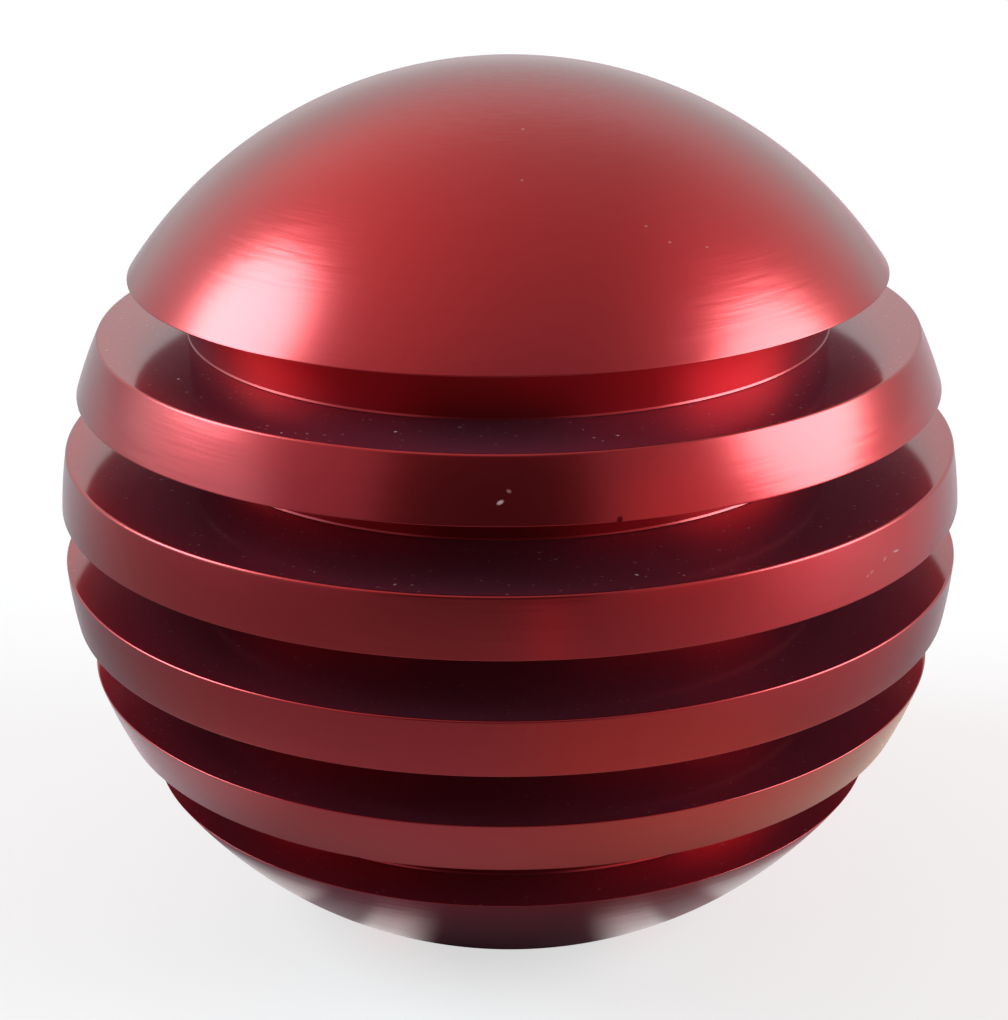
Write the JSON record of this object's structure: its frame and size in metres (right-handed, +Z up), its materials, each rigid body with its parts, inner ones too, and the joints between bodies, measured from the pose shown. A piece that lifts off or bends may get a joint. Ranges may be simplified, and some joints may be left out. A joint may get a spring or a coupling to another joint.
{
  "type": "gear shift knob",
  "caption": "Ball-shaped gear shift knob turned from one piece of red anodised aluminium, with deep grooves round it, domed ends and a flat base tapped for the gear lever.",
  "frame": {"origin": "centre of the base flat, at the mouth of the tapped hole for the gear lever", "axes": "+Z runs up the lever's axis from the base flat to the top of the dome; the knob is round about Z, so X and Y are alike"},
  "size_m": [0.0506, 0.0506, 0.0474],
  "materials": {
    "red_anodised_aluminium": "red dyed anodising over fine circular turning marks, satin on the outside and brighter in the grooves"
  },
  "bodies": {
    "root": {"knob_body": "red_anodised_aluminium"}
  },
  "joints": []
}
